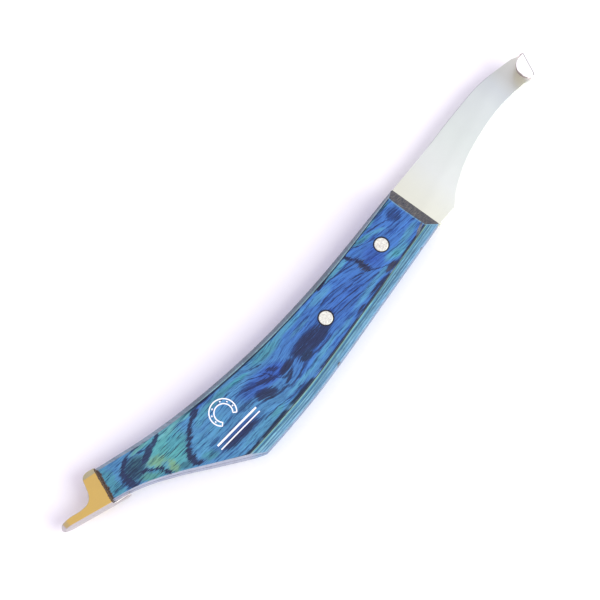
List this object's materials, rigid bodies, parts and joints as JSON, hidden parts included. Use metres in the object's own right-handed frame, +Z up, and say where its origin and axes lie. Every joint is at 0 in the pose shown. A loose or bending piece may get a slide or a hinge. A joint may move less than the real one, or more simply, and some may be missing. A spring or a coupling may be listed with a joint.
{
  "type": "hoof pick with drop-blade hoof knife",
  "caption": "Farrier's hand tool: a short flat hoof pick at the butt and a curved hoof knife with a curled tip, held in a bevelled, riveted laminated wood handle.",
  "frame": {"origin": "bottom centre of the whole tool's bounding box, as it lies flat", "axes": "+X along the tool from the pick to the curled blade tip, +Y towards the back of the blade, +Z up out of the face with the blade's curl"},
  "size_m": [0.2268, 0.04, 0.0145],
  "materials": {
    "blade_steel": "satin polished",
    "pick_metal": "satin, ground edges",
    "upper_wood": "dyed laminated wood, polished lacquer",
    "lower_wood": "dyed laminated wood, polished lacquer",
    "rivet_metal": "hammered and sanded flush",
    "pin_steel": "plain ground"
  },
  "bodies": {
    "root": {"blade": "blade_steel", "hoof_pick": "pick_metal", "upper_scale": "upper_wood", "lower_scale": "lower_wood", "front_rivet": "rivet_metal", "rear_rivet": "rivet_metal", "pick_pin_rear": "pin_steel", "pick_pin_front": "pin_steel"}
  },
  "joints": []
}
